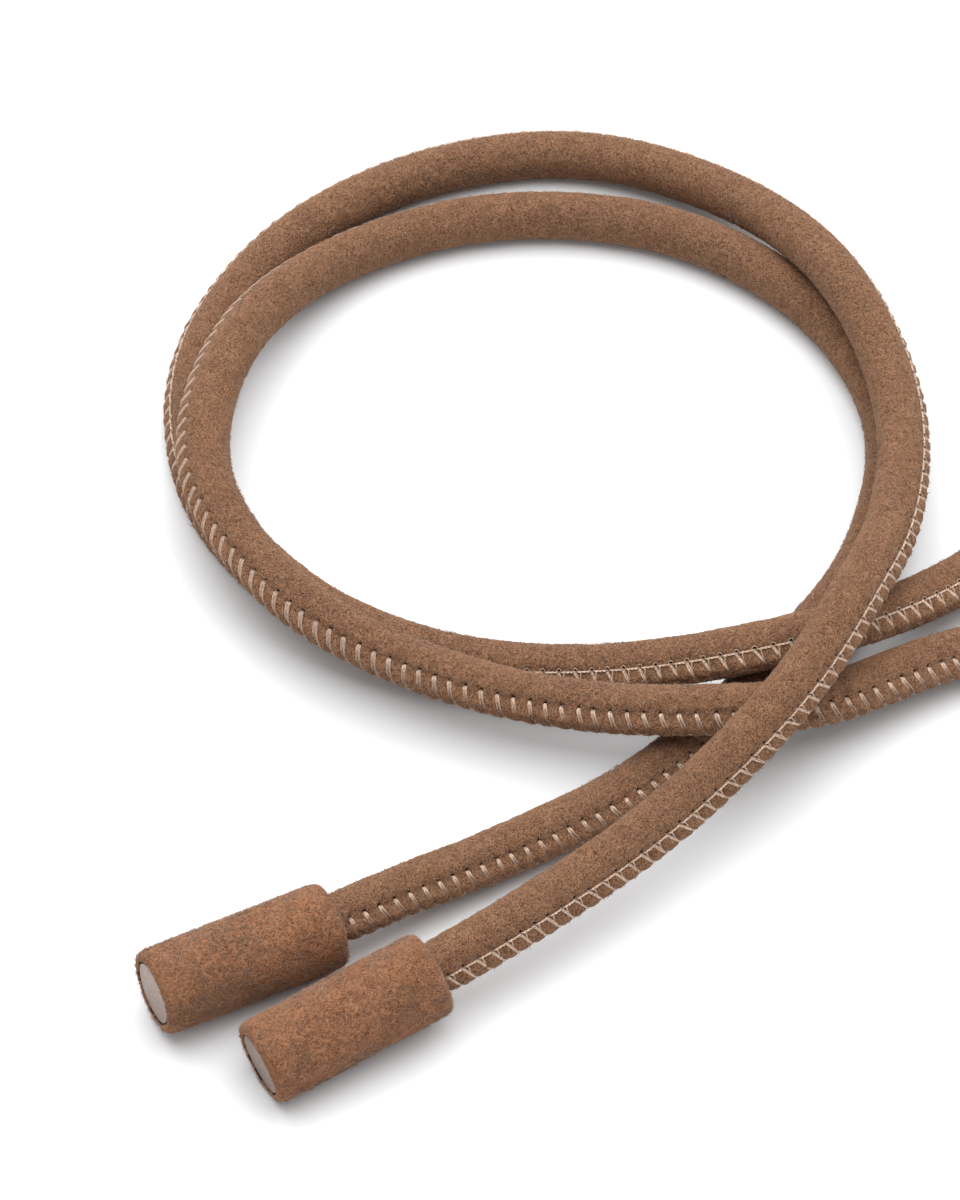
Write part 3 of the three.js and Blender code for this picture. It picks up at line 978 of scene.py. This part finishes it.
# ---------------------------------------------------------------- scene
def add_camera():
    """The photograph's camera."""
    data = bpy.data.cameras.new("camera")
    data.lens, data.sensor_width = CAMERA_LENS, 36
    data.clip_start, data.clip_end = 0.01, 20
    camera = bpy.data.objects.new("camera", data)
    bpy.context.scene.collection.objects.link(camera)
    back = Vector((0, -math.cos(CAMERA_ELEVATION), math.sin(CAMERA_ELEVATION)))
    camera.location = CAMERA_TARGET + back * CAMERA_DISTANCE
    camera.rotation_euler = (-back).to_track_quat("-Z", "Y").to_euler()
    bpy.context.scene.camera = camera


# The studio: its key light, the world and the floor.
KEY_AT, KEY_AIM = Vector((0.08, 0.45, 1.2)), Vector((0.03, 0.05, 0))
KEY_SIZE, KEY_POWER = 2.0, 39.5
WORLD_STRENGTH = 0.58
FLOOR_TONES = (0.80, 0.81, 0.825, 1), (0.81, 0.82, 0.835, 1)
FLOOR_REACH = 3000.0  # half its width, in mm


def add_studio():
    """White floor, even world and one large soft light."""
    n = Nodes("studio_floor")
    soft = n.noise(60, 2.0)
    n.set(n.shader.inputs["Base Color"], n.mix(n.ramp(soft, 0.3, 0.7), *FLOOR_TONES))
    n.shader.inputs["Roughness"].default_value = 0.9
    n.shader.inputs["Specular IOR Level"].default_value = 0.0
    d = FLOOR_REACH
    corners = [(-d, -d, 0), (d, -d, 0), (d, d, 0), (-d, d, 0)]
    make_object("studio_floor", corners, np.array([[0, 1, 2, 3]]), n.material)
    world = bpy.data.worlds.new("studio")
    world.use_nodes = True
    world.node_tree.nodes["Background"].inputs["Color"].default_value = (1, 1, 1, 1)
    world.node_tree.nodes["Background"].inputs["Strength"].default_value = WORLD_STRENGTH
    bpy.context.scene.world = world
    key = bpy.data.lights.new("key", "AREA")
    key.shape, key.size, key.energy = "SQUARE", KEY_SIZE, KEY_POWER
    lamp = bpy.data.objects.new("key", key)
    lamp.location = KEY_AT
    lamp.rotation_euler = (KEY_AIM - KEY_AT).to_track_quat("-Z", "Y").to_euler()
    bpy.context.scene.collection.objects.link(lamp)
    bpy.context.scene.view_settings.view_transform = "Standard"


def ride_on_half(obj, replaced):
    """Bakes a piece of one half of the cord into place, and hides the imported parts it replaces.
    """
    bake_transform(obj)
    if replaced:
        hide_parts(*replaced)


# Each suede's ground in dark, middle and light, the shade between the hairs, and their tips.
CORD_TONES = [
    rgb(73, 46, 31), rgb(78, 50, 34), rgb(93, 63, 43), rgb(49, 29, 18), rgb(157, 119, 92),
]
BARREL_TONES = [
    rgb(86, 51, 33), rgb(92, 56, 36), rgb(110, 72, 48), rgb(55, 31, 18), rgb(168, 121, 90),
]


def build():
    """Everything: materials, the cord in two halves, the barrels, and the studio."""
    add_camera()
    suede = suede_material("cord_suede", CORD_TONES, 0.17, 0.42, 1.6)
    barrel_suede = suede_material("barrel_suede", BARREL_TONES, 0.185, 0.32, 1.3)
    nap_material = fibre_material("suede_fibre", rgb(104, 73, 53), rgb(172, 137, 111))
    thread = thread_material("stitch_thread", rgb(158, 126, 103), rgb(216, 193, 173))
    cotton = cotton_material("core_cotton", rgb(196, 186, 170), rgb(236, 230, 218))
    magnet = metal_material("magnet_plating", rgb(142, 123, 112), 0.42)
    steel = metal_material("cup_steel", rgb(180, 180, 182), 0.35)
    brass = metal_material("ferrule_brass", rgb(196, 160, 96), 0.38)

    covers = make_cover(suede)
    naps = make_nap(nap_material)
    whips = make_whips(thread)
    chains = make_chain(thread)
    cores = make_core(cotton)
    for name in ("a", "b"):
        ride_on_half(covers[name]["obj"], ["suede_cover"])
        ride_on_half(naps[name], [])
        ride_on_half(whips[name], ["needle_thread"])
        ride_on_half(chains[name], ["looper_thread"])
        ride_on_half(cores[name], ["core_cord"])
        sleeve = make_sleeve(name, barrel_suede)
        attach(sleeve, f"end_{name}")
        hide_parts(f"suede_sleeve_{name}")
        nap = make_sleeve_nap(name, nap_material)
        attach(nap, f"end_{name}")
        inside = {"magnet": magnet, "magnet_cup": steel, "crimp_ferrule": brass}
        for node, material in inside.items():
            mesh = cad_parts[f"{node}_{name}"].data
            mesh.materials.clear()
            mesh.materials.append(material)
    add_studio()


build()
